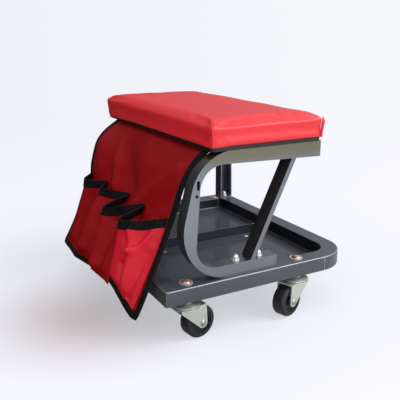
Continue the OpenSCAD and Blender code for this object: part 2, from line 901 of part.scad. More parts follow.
module tyre() {
    shoulder_round = tyre_width * 0.2;
    radius = wheel_diameter / 2;
    color("#1c1c1e")
    translate([caster_trail, 0, axle_height]) rotate([90, 0, 0])
    rotate_extrude() {
        polygon(rounded([
            [core_diameter / 2, -tyre_width / 2], [radius, -tyre_width / 2],
            [radius, tyre_width / 2], [core_diameter / 2, tyre_width / 2]],
            [0, shoulder_round, shoulder_round, 0]));
    }
}

// Fasteners of the casters: the bolt from the rim down is the pin on which the fork turns
bolt_head_radius = king_bolt * 0.85;
bolt_head_height = king_bolt * 0.42;
caster_washer_radius = king_bolt * 1.15;
king_nut_height = 4;
king_nut_radius = king_bolt * 0.8;
nut_gap = run_clear;

module at_casters() {
    for (place = caster_places) translate([place.x, place.y, 0]) children();
}

module caster_bolts() {
    low = crown_bottom - nut_gap - king_nut_height;
    color("#b98d80")
    at_casters() {
        translate([0, 0, low])
            cylinder(d = king_bolt, h = rim_top + washer_thick - low);
        translate([0, 0, rim_top + washer_thick]) low_dome(bolt_head_radius, bolt_head_height);
    }
}

module caster_washers() {
    color("#cfd3d4")
    at_casters()
        translate([0, 0, rim_top]) difference() {
            cylinder(r = caster_washer_radius, h = washer_thick);
            translate([0, 0, -overrun])
                cylinder(r = king_bolt / 2 + bolt_clear, h = washer_thick + 2 * overrun);
        }
}

module caster_spacers() {
    color("#d6d9d8")
    at_casters()
        translate([0, 0, race_top]) difference() {
            cylinder(r = king_bolt, h = spacer_length, $fn = 6);
            translate([0, 0, -overrun])
                cylinder(r = king_bolt / 2 + bolt_clear, h = spacer_length + 2 * overrun);
        }
}

module king_nuts() {
    color("#c4c9cd")
    at_casters()
        translate([0, 0, crown_bottom - nut_gap - king_nut_height]) difference() {
            cylinder(r = king_nut_radius, h = king_nut_height, $fn = 6);
            translate([0, 0, -overrun]) cylinder(d = king_bolt, h = king_nut_height + 2 * overrun);
        }
}

// Origin: on the floor, under the middle of the whole part's box
bag_left = min([for (k = [0 : pocket_count - 1])
    each [for (row = pocket_grid(k, depth_shares, pocket_wall + binding_lip))
        each [for (p = row) p.x]]]);
part_left = min(bag_left, hem.x + binding_lip / tail_way.y);
part_right = tray_length;
origin = [(part_left + part_right) / 2, mid_y, 0];

module placed() {
    translate(-origin) children();
}

placed() tray();
placed() tray_divider();
placed() divider_rivets();
placed() near_frame();
placed() far_frame();
placed() near_brace();
placed() far_brace();
placed() frame_bolts();
placed() frame_washers();
placed() frame_nuts();
placed() seat_board();
placed() seat_cushion();
placed() seat_screws();
placed() bag_panel();
placed() bag_binding();
placed() bag_screws();
placed() pocket_1();
placed() pocket_2();
placed() pocket_3();
placed() pocket_4();
placed() pocket_bindings();
placed() caster_bolts();
placed() caster_washers();
placed() caster_spacers();
placed() king_nuts();
placed() at_caster(near_left, near_left_angle) race();  // near_left_race
placed() at_caster(near_left, near_left_angle) fork();  // near_left_fork
placed() at_caster(near_left, near_left_angle) axle();  // near_left_axle
placed() at_caster(near_left, near_left_angle) wheel_core();  // near_left_core
placed() at_caster(near_left, near_left_angle) tyre();  // near_left_tyre
placed() at_caster(near_right, near_right_angle) race();  // near_right_race
placed() at_caster(near_right, near_right_angle) fork();  // near_right_fork
placed() at_caster(near_right, near_right_angle) axle();  // near_right_axle
placed() at_caster(near_right, near_right_angle) wheel_core();  // near_right_core
placed() at_caster(near_right, near_right_angle) tyre();  // near_right_tyre
placed() at_caster(far_left, far_left_angle) race();  // far_left_race
placed() at_caster(far_left, far_left_angle) fork();  // far_left_fork
placed() at_caster(far_left, far_left_angle) axle();  // far_left_axle
placed() at_caster(far_left, far_left_angle) wheel_core();  // far_left_core
placed() at_caster(far_left, far_left_angle) tyre();  // far_left_tyre
placed() at_caster(far_right, far_right_angle) race();  // far_right_race
placed() at_caster(far_right, far_right_angle) fork();  // far_right_fork
placed() at_caster(far_right, far_right_angle) axle();  // far_right_axle
placed() at_caster(far_right, far_right_angle) wheel_core();  // far_right_core
placed() at_caster(far_right, far_right_angle) tyre();  // far_right_tyre
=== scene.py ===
# Rolling creeper seat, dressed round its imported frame.
# Metres: +X along the arms of the frames, +Y along the seat, +Z up.
import math

import bmesh
import bpy
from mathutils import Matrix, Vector, noise


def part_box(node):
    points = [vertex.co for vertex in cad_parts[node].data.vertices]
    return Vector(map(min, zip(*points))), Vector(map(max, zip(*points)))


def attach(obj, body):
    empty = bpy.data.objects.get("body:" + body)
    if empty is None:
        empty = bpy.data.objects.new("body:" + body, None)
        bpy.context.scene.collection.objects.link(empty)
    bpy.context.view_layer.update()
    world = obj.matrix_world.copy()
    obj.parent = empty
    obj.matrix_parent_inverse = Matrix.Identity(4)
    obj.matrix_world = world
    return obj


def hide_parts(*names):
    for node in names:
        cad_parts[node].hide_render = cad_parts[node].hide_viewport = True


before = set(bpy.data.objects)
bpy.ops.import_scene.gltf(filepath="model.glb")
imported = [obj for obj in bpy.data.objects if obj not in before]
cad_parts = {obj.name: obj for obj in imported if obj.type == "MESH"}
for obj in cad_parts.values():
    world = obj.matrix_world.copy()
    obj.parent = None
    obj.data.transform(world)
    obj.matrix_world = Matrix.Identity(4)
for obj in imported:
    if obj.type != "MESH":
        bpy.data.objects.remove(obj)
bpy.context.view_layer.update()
mm = 0.001
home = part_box("tray")[0]  # places below are in millimetres from this corner of the tray and from the floor


def at(x, y, z):
    return Vector((home.x + x * mm, home.y + y * mm, z * mm))


def smooth(low, high, value):
    t = min(max((value - low) / (high - low), 0.0), 1.0)
    return t * t * (3 - 2 * t)


def valueAlong(line, share):
    # what a line of (share, value) pairs gives at one share
    for (a, low), (b, high) in zip(line, line[1:]):
        if share <= b:
            return low + (high - low) * (share - a) / (b - a)
    return line[-1][1]


def linearColour(code):
    parts = [int(code[i:i + 2], 16) / 255 for i in (1, 3, 5)]
    return [p / 12.92 if p <= 0.04045 else ((p + 0.055) / 1.055) ** 2.4 for p in parts] + [1.0]


# where the photo was taken from: place in millimetres, turns in degrees, lens for a 36 mm sensor
camera = {"place": (-348.9, -743.4, 488.2), "yaw": 28.78, "pitch": 16.17, "lens": 52.39, "clip": (0.05, 60)}


def makeCamera():
    data = bpy.data.cameras.new("photoCamera")
    data.sensor_width = 36
    data.lens = camera["lens"]
    data.clip_start, data.clip_end = camera["clip"]
    obj = bpy.data.objects.new("photoCamera", data)
    bpy.context.scene.collection.objects.link(obj)
    obj.location = at(*camera["place"])
    obj.rotation_euler = (math.radians(90 - camera["pitch"]), 0, -math.radians(camera["yaw"]))
    bpy.context.scene.camera = obj
    print("camera placed")


def addNode(tree, kind, settings=None, inputs=None):
    made = tree.nodes.new(kind)
    for key, value in (settings or {}).items():
        setattr(made, key, value)
    for key, value in (inputs or {}).items():
        if isinstance(value, bpy.types.NodeSocket):
            tree.links.new(value, made.inputs[key])
        else:
            made.inputs[key].default_value = value
    return made


def newMaterial(name, constants):
    made = bpy.data.materials.new(name)
    made.use_nodes = True
    tree = made.node_tree
    shader = tree.nodes["Principled BSDF"]
    for socket, value in constants.items():
        shader.inputs[socket].default_value = value
    place = addNode(tree, "ShaderNodeTexCoord").outputs
    return made, tree, shader, place


def perMetre(size):
    return 1000 / size  # the scale of a pattern whose features have this size in millimetres


def mottled(tree, place, size, colours, detail=3.0):
    # two close shades that drift into each other in clouds of a real size
    cloud = addNode(tree, "ShaderNodeTexNoise", {}, {
        "Vector": place, "Scale": perMetre(size), "Detail": detail}).outputs["Fac"]
    blend = addNode(tree, "ShaderNodeMix", {"data_type": "RGBA"}, {
        "Factor": cloud, 6: linearColour(colours[0]), 7: linearColour(colours[1])})
    return cloud, blend.outputs[2]


def dressShader(tree, shader, colour, cloud, roughness, reliefs):
    # the colour, a roughness that drifts with the clouds, and reliefs of (height, strength, depth in mm)
    tree.links.new(colour, shader.inputs["Base Color"])
    if cloud is not None:
        drift = addNode(tree, "ShaderNodeMapRange", {}, {
            "Value": cloud, "To Min": roughness[0], "To Max": roughness[1]})
        tree.links.new(drift.outputs[0], shader.inputs["Roughness"])
    under = {}
    for height, strength, depth in reliefs:
        bump = addNode(tree, "ShaderNodeBump", {}, {
            "Height": height, "Strength": strength, "Distance": depth * mm, **under})
        under = {"Normal": bump.outputs[0]}
    tree.links.new(under["Normal"], shader.inputs["Normal"])


materials = {}


def paintMaterial(name, colours, roughness, coat, flake, paintedReflection=None, flat=None):
    # powder coat and enamel with metal flake on pressed steel: light where it mirrors the bright front of the
    # room and nearly black at the sides, over a fine orange peel, drawn a little coarser than it is
    made, tree, shader, place = newMaterial(name, {
        "Metallic": flake, "Coat Weight": coat, "Coat Roughness": 0.12})
    cloud, colour = mottled(tree, place["Object"], 71.4, colours)
    if paintedReflection:
        # painted reflection: the upper arms are tinted with a warmer, duller part of the room that they mirror;
        # its tint, and the heights where it comes in
        tint, low, high = paintedReflection
        height = addNode(tree, "ShaderNodeSeparateXYZ", {}, {"Vector": place["Object"]}).outputs["Z"]
        rise = addNode(tree, "ShaderNodeMapRange", {"interpolation_type": "SMOOTHSTEP"}, {
            "Value": height, "From Min": low * mm, "From Max": high * mm})
        colour = addNode(tree, "ShaderNodeMix", {"data_type": "RGBA"}, {
            "Factor": rise.outputs[0], 6: colour, 7: linearColour(tint)}).outputs[2]
    if flat:
        # painted shade: the colour stands for the shade on faces that stand, and the faces that look up are
        # painted as light as the rest of the tray
        normal = addNode(tree, "ShaderNodeNewGeometry").outputs["Normal"]
        facing = addNode(tree, "ShaderNodeSeparateXYZ", {}, {"Vector": normal}).outputs["Z"]
        level = addNode(tree, "ShaderNodeMapRange", {}, {"Value": facing, "From Min": 0.75, "From Max": 0.95})
        colour = addNode(tree, "ShaderNodeMix", {"data_type": "RGBA"}, {
            "Factor": level.outputs[0], 6: colour, 7: linearColour(flat)}).outputs[2]
    peel = addNode(tree, "ShaderNodeTexNoise", {}, {
        "Vector": place["Object"], "Scale": perMetre(1.43), "Detail": 2})
    dressShader(tree, shader, colour, cloud, (roughness - 0.06, roughness + 0.08),
                [(peel.outputs["Fac"], 0.12, 0.4)])
    materials[name] = made


def metalMaterial(name, colours, roughness):
    # plated or turned steel: bright and slightly cloudy, with its crystals drawn at half a millimetre, which is
    # far coarser than they are, so that they break up the highlights
    made, tree, shader, place = newMaterial(name, {"Metallic": 0.8})
    cloud, colour = mottled(tree, place["Object"], 11.1, colours)
    grain = addNode(tree, "ShaderNodeTexNoise", {}, {
        "Vector": place["Object"], "Scale": perMetre(0.556), "Detail": 2})
    dressShader(tree, shader, colour, cloud, (roughness - 0.08, roughness + 0.1),
                [(grain.outputs["Fac"], 0.08, 0.2)])
    materials[name] = made


def vinylMaterial(name, colours, roughness):
    # calendered PVC cloth: soft gloss over a pebbled grain of about a millimetre and broad slack creases
    made, tree, shader, place = newMaterial(name, {
        "IOR": 1.5, "Specular IOR Level": 0.36, "Coat Weight": 0.3, "Coat Roughness": 0.3})
    cloud, colour = mottled(tree, place["Object"], 143, colours, 4)
    pebble = addNode(tree, "ShaderNodeTexVoronoi", {"feature": "F1"}, {
        "Vector": place["Object"], "Scale": perMetre(1.18)})
    crease = addNode(tree, "ShaderNodeTexNoise", {}, {
        "Vector": place["Object"], "Scale": perMetre(62.5), "Detail": 3, "Distortion": 0.8})
    dressShader(tree, shader, colour, cloud, (roughness - 0.05, roughness + 0.08),
                [(pebble.outputs["Distance"], 0.12, 0.3), (crease.outputs["Fac"], 0.25, 2)])
    materials[name] = made


def clothMaterial(name, colours, roughness, gloss=0.2, sheen=0.0, thread=1.2):
    # woven nylon: a plain weave on the piece's own UV map, in metres. Its threads, really half a millimetre
    # apart, are drawn wider so that they show
    made, tree, shader, place = newMaterial(name, {
        "IOR": 1.45, "Roughness": roughness, "Specular IOR Level": gloss,
        "Sheen Weight": sheen, "Sheen Roughness": 0.4})
    colour = mottled(tree, place["Object"], 90.9, colours, 4)[1]
    split = addNode(tree, "ShaderNodeSeparateXYZ", {}, {"Vector": place["UV"]})
    waves = []
    for axis in ("X", "Y"):
        scaled = addNode(tree, "ShaderNodeMath", {"operation": "MULTIPLY"}, {
            0: split.outputs[axis], 1: perMetre(thread) * math.pi})
        waves.append(addNode(tree, "ShaderNodeMath", {"operation": "SINE"}, {0: scaled.outputs[0]}).outputs[0])
    weave = addNode(tree, "ShaderNodeMath", {"operation": "MULTIPLY"}, {0: waves[0], 1: waves[1]})
    dressShader(tree, shader, colour, None, None, [(weave.outputs[0], 0.35, 0.4)])
    materials[name] = made


def mouldedMaterial(name, colours, roughness, grit):
    # moulded nylon and rubber: dull and faintly dusty, with the grit of the mould drawn coarser than it is
    made, tree, shader, place = newMaterial(name, {"IOR": 1.5})
    cloud, colour = mottled(tree, place["Object"], 16.7, colours)
    grain = addNode(tree, "ShaderNodeTexNoise", {}, {
        "Vector": place["Object"], "Scale": perMetre(grit), "Detail": 2})
    dressShader(tree, shader, colour, cloud, (roughness - 0.08, roughness + 0.1),
                [(grain.outputs["Fac"], 0.15, 0.3)])
    materials[name] = made


def makeMaterials():
    # dark grey powder coat of the pressed tray: satin, with broad soft highlights
    paintMaterial("trayPowderCoat", ("#454952", "#525761"), roughness=0.4, coat=0.35, flake=0.45)
    # the same coat on the pan's walls and divider, with painted shade: blue-black where it stands in the seat's
    # shadow, light where it lies flat
    paintMaterial("panCoatPaintedShade", ("#1A2029", "#232B36"), roughness=0.36, coat=0.3, flake=0.4,
                  flat="#4E535D")
    # painted highlight along bends and edges: a pale line with a sharper shine
    paintMaterial("paintedEdgeHighlight", ("#7A818C", "#868C96"), roughness=0.34, coat=0.2, flake=0.5)
    # gloss enamel of the channel frames: mirrors the room, with a painted reflection of a warmer, duller part
    # of it on the upper arms
    paintMaterial("frameGlossEnamel", ("#74777E", "#82858D"), roughness=0.3, coat=0.3, flake=0.9,
                  paintedReflection=("#76735F", 284, 302))
    # bright zinc plate of forks, plates, nuts and washers: pale, soft highlights
    metalMaterial("zincPlate", ("#CFD3CA", "#E3E7DF"), roughness=0.36)
    # turned steel of the axles: greyer and duller than the forks round them
    metalMaterial("axleSteel", ("#8E918D", "#A9ACA7"), roughness=0.4)
    # yellow-red passivated zinc of the caster bolts: coppery domes
    metalMaterial("passivatedZinc", ("#B98A78", "#D9B3A2"), roughness=0.3)
    # red vinyl of the cushion: soft gloss, with pale highlights along its folds
    vinylMaterial("seatVinyl", ("#D21A25", "#E22834"), roughness=0.4)
    # black vinyl that covers the board: a dull strip under the cushion
    vinylMaterial("boardCover", ("#0A0A0B", "#121214"), roughness=0.5)
    # woven nylon of the bag: deep red, dull
    clothMaterial("bagNylon", ("#86000A", "#9A020E"), roughness=0.46)
    # the nearest pocket's nylon: painted light, its colour brighter than the bag's where the pocket faces the
    # light, and glossier
    clothMaterial("pocketNylonPaintedLight", ("#BC0A1C", "#D61430"), roughness=0.4, gloss=0.4)
    # the bag's inner side: painted shade, nearly black and flat, where it lies in the bag's shadow
    clothMaterial("bagInsidePaintedShade", ("#2A0608", "#34080A"), roughness=0.6)
    # woven binding tape: black, with wider threads and a faint sheen
    clothMaterial("blackBinding", ("#050506", "#0C0C0D"), roughness=0.6, sheen=0.05, thread=1.6)
    # moulded nylon of the wheel cores: dark, slightly smoother than the tyres
    mouldedMaterial("wheelNylon", ("#141517", "#1D1E21"), roughness=0.45, grit=1.11)
    # rubber of the tyres: matt black-grey
    mouldedMaterial("tyreRubber", ("#151518", "#202125"), roughness=0.5, grit=0.833)
    print("materials made")


nodeFinish = {
    "tray_divider": "panCoatPaintedShade", "divider_rivets": "zincPlate",
    "near_frame": "frameGlossEnamel", "far_frame": "frameGlossEnamel",
    "near_brace": "frameGlossEnamel", "far_brace": "frameGlossEnamel",
    "frame_bolts": "zincPlate", "frame_washers": "zincPlate", "frame_nuts": "zincPlate",
    "seat_board": "boardCover", "seat_screws": "zincPlate", "bag_screws": "zincPlate",
    "caster_bolts": "passivatedZinc", "caster_washers": "zincPlate", "caster_spacers": "zincPlate",
    "king_nuts": "zincPlate",
}
casterFinish = {
    "race": "zincPlate", "fork": "zincPlate", "axle": "axleSteel", "core": "wheelNylon", "tyre": "tyreRubber"}
# how wide the sheet's edges are rounded, in millimetres, and the nodes whose edges get a painted highlight
edgeWidth = {"tray_divider": 0.9, "near_frame": 1.1, "far_frame": 1.1, "near_brace": 0.8,
             "far_brace": 0.8, "fork": 0.8, "seat_board": 0.8}
highlightedEdgeNodes = ("tray_divider", "near_frame", "far_frame")


def finishNodes():
    wanted = dict(nodeFinish)
    for corner in ("near_left", "near_right", "far_left", "far_right"):
        for part, finish in casterFinish.items():
            wanted[f"{corner}_{part}"] = finish
    for name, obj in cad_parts.items():
        if name not in wanted:
            continue  # replaced by a piece below
        obj.data.materials.clear()
        obj.data.materials.append(materials[wanted[name]])
        width = edgeWidth.get(name) or edgeWidth.get(name.split("_")[-1])
        if width:
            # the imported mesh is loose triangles: joined and flattened, so that only real edges are rounded
            weld = obj.modifiers.new("weld", "WELD")
            weld.merge_threshold = 0.02 * mm
            flat = obj.modifiers.new("flat", "DECIMATE")
            flat.decimate_type = "DISSOLVE"
            flat.angle_limit = math.radians(0.5)
            edge = obj.modifiers.new("edge", "BEVEL")
            edge.width = width * mm
            edge.segments = 3
            edge.limit_method = "ANGLE"
            edge.angle_limit = math.radians(32)
            edge.harden_normals = True
            # the rounded edges of these nodes get the painted highlight
            if name in highlightedEdgeNodes:
                obj.data.materials.append(materials["paintedEdgeHighlight"])
                edge.material = 1
    print("frame nodes finished")


def finishPiece(name, bm, finish, sharp=40):
    mesh = bpy.data.meshes.new(name)
    bm.to_mesh(mesh)
    bm.free()
    mesh.polygons.foreach_set("use_smooth", [True] * len(mesh.polygons))
    mesh.set_sharp_from_angle(angle=math.radians(sharp))
    mesh.materials.append(materials[finish])
    obj = bpy.data.objects.new(name, mesh)
    bpy.context.scene.collection.objects.link(obj)
    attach(obj, "chassis")
    return obj


def applyAll(obj):
    graph = bpy.context.evaluated_depsgraph_get()
    made = bpy.data.meshes.new_from_object(obj.evaluated_get(graph))
    obj.modifiers.clear()
    obj.data = made


# one pressed sheet, in millimetres: every bend has a radius, and the skirt is slit where it meets the round
# corners. Corners go round from the near left one. Columns go round in the same way, ten to a corner, and
# rows from the skirt's foot up over the rim and down to the pan: where the sheet is slit, painted dark as
# shade, or given a painted highlight
tray = {"sheet": 1.5, "skirt": 26.0, "rim": 32.0, "bend": 2.4, "footBend": 4.0,
        "corners": (3.5, 65.0, 3.5, 65.0), "pan": (12.0, 33.0, 12.0, 33.0), "slit": 2.0,
        "slitColumns": (10, 30), "wallRows": (8, 9, 10, 11, 12), "brightRows": (2, 3),
        "brightColumns": (4, 5, 24, 25)}


def trayLoop(inset, height, inPan):
    # the tray's outline, drawn in by so many millimetres, at one height
    low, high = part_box("tray")
    points = []
    corners = ((0, 0, 180), (1, 0, 270), (1, 1, 0), (0, 1, 90))
    for (right, back, start), outer, pan in zip(corners, tray["corners"], tray["pan"]):
        radius = max(pan - (inset - tray["rim"]) if inPan else outer - inset, 0.6) * mm
        x = low.x + inset * mm + radius if not right else high.x - inset * mm - radius
        y = low.y + inset * mm + radius if not back else high.y - inset * mm - radius
        turns = [11.25 * i for i in range(9)]
        turns.insert(1, math.degrees(tray["slit"] / tray["corners"][1]))
        for turn in turns:
            angle = math.radians(start + turn)
            points.append(Vector((x + radius * math.cos(angle), y + radius * math.sin(angle), height)))
    return points


def makeTray():
    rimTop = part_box("tray")[1].z
    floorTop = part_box("tray_divider")[0].z
    bend, foot, rim = tray["bend"], tray["footBend"], tray["rim"]
    bends = [math.radians(turn) for turn in (0, 22.5, 45, 67.5, 90)]
    loops = [trayLoop(0, rimTop - tray["skirt"] * mm, False)]
    for a in bends:
        loops.append(trayLoop(bend * (1 - math.cos(a)), rimTop - bend * (1 - math.sin(a)) * mm, False))
    outside = len(loops) - 1
    for a in bends:
        loops.append(trayLoop(rim - bend * (1 - math.sin(a)), rimTop - bend * (1 - math.cos(a)) * mm, True))
    for a in bends:
        loops.append(trayLoop(rim + foot * (1 - math.cos(a)), floorTop + foot * (1 - math.sin(a)) * mm, True))
    # a flat grid with a column for each point of the outline and a row for each loop, laid onto the loops
    columns, rows = len(loops[0]), len(loops) - 1
    bm = bmesh.new()
    bmesh.ops.create_grid(bm, x_segments=columns, y_segments=rows, size=0.5)
    slits = []
    for face in bm.faces:
        centre = face.calc_center_median()
        column, row = int((centre.x + 0.5) * columns), int((centre.y + 0.5) * rows)
        # the pan's wall rows get the painted shade, and the bright rows and columns the painted edge highlight
        highlighted = row in tray["brightRows"] or (row < outside and column in tray["brightColumns"])
        face.material_index = 1 if row in tray["wallRows"] else 2 if highlighted else 0
        if row == 0 and column in tray["slitColumns"]:
            slits.append(face)
    for v in bm.verts:
        v.co = loops[round((v.co.y + 0.5) * rows)][round((v.co.x + 0.5) * columns) % columns]
    bmesh.ops.delete(bm, geom=slits, context="FACES")
    bmesh.ops.remove_doubles(bm, verts=bm.verts, dist=1e-6)
    inner = [e for e in bm.edges if e.is_boundary and all(abs(v.co.z - floorTop) < 1e-5 for v in e.verts)]
    bmesh.ops.edgeloop_fill(bm, edges=inner)
    bmesh.ops.recalc_face_normals(bm, faces=bm.faces)
    if max(bm.faces, key=lambda f: f.calc_area()).normal.z < 0:
        bmesh.ops.reverse_faces(bm, faces=bm.faces)
    obj = finishPiece("tray_pressing", bm, "trayPowderCoat", sharp=50)
    # second slot: the pan's coat, with painted shade on its standing faces
    obj.data.materials.append(materials["panCoatPaintedShade"])
    # third slot: the painted highlight along the bends
    obj.data.materials.append(materials["paintedEdgeHighlight"])
    wall = obj.modifiers.new("wall", "SOLIDIFY")
    wall.thickness = tray["sheet"] * mm
    wall.offset = -1
    level = obj.modifiers.new("level", "WEIGHTED_NORMAL")
    level.keep_sharp = True
    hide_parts("tray")
    print("tray made")


# sizes in millimetres; the caps hold how far the cloth may swell at the top and the sides
cushion = {
    "corner": 6.0, "shoulder": 5.0, "voxel": 4.5, "frames": 20, "pressure": 4.0,
    "topCap": 5.0, "sideCap": 2.0, "start": 2.5, "proud": 0.7, "wrap": 0.8,
    "crown": 3.4, "flare": 3.2, "farFlare": 2.5, "pull": (1.6, 1.4), "ripple": (0.8, 0.9),
    "overhang": (1.5, 4.0),
    # the folded corners: width on the left and right, how far up they reach and from where they bend in, both
    # as shares of the height, and how far in they stand along x and y, with what the bend adds
    "tuckWidth": (2.0, 4.6), "tuckThick": 3.0, "tuckReach": 0.93, "tuckBend": 0.7, "tuckFoot": 1.2,
    "tuckIn": ((2.6, 1.5), (0.7, 2.2)),
}


def makeCushion():
    low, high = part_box("seat_cushion")
    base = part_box("seat_board")[1].z - cushion["wrap"] * mm
    top = high.z - cushion["start"] * mm
    proud = 2 * cushion["proud"] * mm
    bm = bmesh.new()
    bmesh.ops.create_cube(bm, size=1)
    bmesh.ops.scale(bm, vec=(high.x - low.x + proud, high.y - low.y + proud, top - base), verts=bm.verts)
    bmesh.ops.translate(bm, vec=((low.x + high.x) / 2, (low.y + high.y) / 2, (top + base) / 2), verts=bm.verts)
    upright = [e for e in bm.edges if abs(e.verts[0].co.z - e.verts[1].co.z) > 0.01]
    bmesh.ops.bevel(bm, geom=upright, offset=cushion["corner"] * mm, segments=3, profile=0.5, affect="EDGES",
                    material=-1)
    rim = [e for e in bm.edges if min(v.co.z for v in e.verts) > top - 0.0001]
    bmesh.ops.bevel(bm, geom=rim, offset=cushion["shoulder"] * mm, segments=4, profile=0.5, affect="EDGES",
                    material=-1)
    obj = finishPiece("cushion", bm, "seatVinyl", sharp=180)
    voxel = obj.modifiers.new("voxel", "REMESH")
    voxel.mode = "VOXEL"
    voxel.voxel_size = cushion["voxel"] * mm
    applyAll(obj)
    rest = [v.co.copy() for v in obj.data.vertices]
    inflate(obj, base)
    for v, start in zip(obj.data.vertices, rest):
        moved = v.co - start
        cap = cushion["topCap"] if start.z > top - 0.003 else cushion["sideCap"]
        if moved.length > cap * mm:
            moved *= cap * mm / moved.length
        v.co = start + moved
    dressCushion(obj, low, high, base, top)
    finer = obj.modifiers.new("finer", "SUBSURF")
    finer.levels = finer.render_levels = 1
    applyAll(obj)
    obj.data.polygons.foreach_set("use_smooth", [True] * len(obj.data.polygons))
    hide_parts("seat_cushion")
    print("cushion made")


def inflate(obj, base):
    # cloth under pressure, held along its foot, with no weight
    group = obj.vertex_groups.new(name="base")
    group.add([v.index for v in obj.data.vertices if v.co.z < base + 0.004], 1.0, "REPLACE")
    cloth = obj.modifiers.new("cloth", "CLOTH")
    cloth.settings.use_pressure = True
    cloth.settings.uniform_pressure_force = cushion["pressure"]
    cloth.settings.vertex_group_mass = "base"
    cloth.settings.effector_weights.gravity = 0
    scene = bpy.context.scene
    for step in range(1, cushion["frames"] + 1):
        scene.frame_set(step)
    applyAll(obj)
    scene.frame_set(1)
    obj.vertex_groups.clear()


def dressCushion(obj, low, high, base, top):
    middle = (low + high) / 2
    half = (high - low) / 2
    pullX, pullY = cushion["pull"]
    fine, broad = cushion["ripple"]
    for v in obj.data.vertices:
        c = v.co
        across = (c.x - middle.x) / half.x
        down = (c.y - middle.y) / half.y
        lift = smooth(base, top, c.z)
        # the crown is highest in the middle, the sides lean out to the top edge and pull in between the corners
        if c.z > top - 0.004:
            crown = (1 - min(abs(across), 1) ** 4) * (1 - min(abs(down), 1) ** 8)
            c.z += crown * cushion["crown"] * mm
        lean = cushion["flare"] + cushion["farFlare"] * smooth(0.2, 1.0, down) * smooth(0.2, 1.0, -across)
        lean *= mm * max((c.z - base) / (top - base), 0) ** 1.4
        pull = pullX * mm * lift * (1 - min(abs(down), 1) ** 4)
        c.x += across * lean - math.copysign(pull, across) * smooth(0.85, 0.97, abs(across))
        pull = pullY * mm * lift * (1 - min(abs(across), 1) ** 4)
        c.y += down * lean - math.copysign(pull, down) * smooth(0.9, 0.98, abs(down))
        ripple = noise.noise(Vector((c.x * 24, c.y * 13, c.z * 30))) * fine * mm
        ripple += noise.noise(Vector((c.x * 9 + c.y * 14, c.y * 5, 2.0))) * broad * mm
        c.z += ripple * lift
        c.z = max(c.z, base)
        # the cover is pulled down over the board's edge, most of all at the far left corner
        skirt = 1 - smooth(base, base + 0.012, c.z)
        under = cushion["overhang"][0] + cushion["overhang"][1] * smooth(-1.0, 1.0, down)
        c.z -= under * mm * skirt * smooth(0.6, 1.0, -across)


def makeTucks():
    # at each corner the vinyl is folded over itself, and the fold lies upright against the end face
    low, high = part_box("seat_cushion")
    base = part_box("seat_board")[1].z - cushion["wrap"] * mm
    top = high.z - cushion["start"] * mm
    (inX, bendX), (inY, bendY) = cushion["tuckIn"]
    steps = 16
    bm = bmesh.new()
    for end in (-1, 1):
        for side in (-1, 1):
            path = []
            for i in range(steps + 1):
                t = cushion["tuckReach"] * i / steps
                over = smooth(cushion["tuckBend"], cushion["tuckReach"], t)
                lean = cushion["flare"] * mm * t ** 1.4 + cushion["proud"] * mm
                corner = Vector((high.x if side > 0 else low.x, high.y if end > 0 else low.y, 0))
                corner.x += side * (lean - (inX + bendX * over) * mm)
                corner.y += end * (lean - (inY + bendY * over) * mm)
                corner.z = base + (top - base) * t + cushion["tuckFoot"] * mm
                outward = Vector((side * 0.25, end, 0)).normalized()
                taper = 1 - 0.6 * over
                path.append((corner, Vector((taper, 0, 0)), outward * taper))
            sweepBand(bm, path, cushion["tuckWidth"][side > 0], cushion["tuckThick"])
    bmesh.ops.holes_fill(bm, edges=[e for e in bm.edges if e.is_boundary], sides=0)
    bmesh.ops.recalc_face_normals(bm, faces=bm.faces)
    finishPiece("cushion_tucks", bm, "seatVinyl", sharp=60)
    print("cushion tucks made")


# the bag's line hangs from the flap under the board over a knee to the hem; millimetres, x and z in pairs
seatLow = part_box("seat_board")[0]
seatX = (seatLow.x - home.x) / mm
boardZ = seatLow.z / mm
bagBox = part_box("bag_binding")
bag = {
    "near": (bagBox[0].y - home.y) / mm - 1.6, "far": (bagBox[1].y - home.y) / mm + 0.6,
    "flapStart": seatX + 48, "flapEnd": seatX + 23, "knee": (seatX - 42, boardZ - 76),
    "hem": (seatX - 123, bagBox[0].z / mm), "flapLead": 26, "kneeLead": (10, 34), "hemLead": (36, 70),
    "tail": 8.0, "binding": 13.0, "cloth": 2.0, "bindingThick": 6.0,
    # height of the hem over the CAD bag's foot, by share of the bag's width, from the near side
    "hemLine": ((0.0, -5.0), (0.03, -4.5), (0.11, 5.0), (0.2, 13.0), (0.3, 17.0), (0.48, 13.0), (0.74, 1.0),
                (0.9, 2.0), (1.0, 3.0)),
    # how far the hem stands out, in the same way
    "hemFlare": ((0.0, -6.0), (0.1, 7.0), (0.3, 15.0), (0.5, 10.0), (0.75, 8.0), (0.92, 4.0), (1.0, 0.0)),
    # folds of the hanging cloth: from and to, as share of the width and reach, then half width and height
    "folds": (((0.88, 44), (0.56, 56), 17, -11.0), ((0.74, 60), (0.50, 150), 30, -11.0),
              ((0.10, 84), (0.36, 176), 12, 7.0), ((0.95, 70), (0.86, 150), 24, 7.0),
              ((0.78, 75), (0.66, 165), 9, 5.0), ((0.05, 120), (0.22, 170), 10, -4.0)),
    "ripple": 1.3, "crumple": 1.5, "farSwell": 7,
}
bagWide = bag["far"] - bag["near"]


def bezier(a, b, c, d, t):
    return tuple(p * (1 - t) ** 3 + 3 * q * t * (1 - t) ** 2 + 3 * r * t * t * (1 - t) + s * t ** 3
                 for p, q, r, s in zip(a, b, c, d))


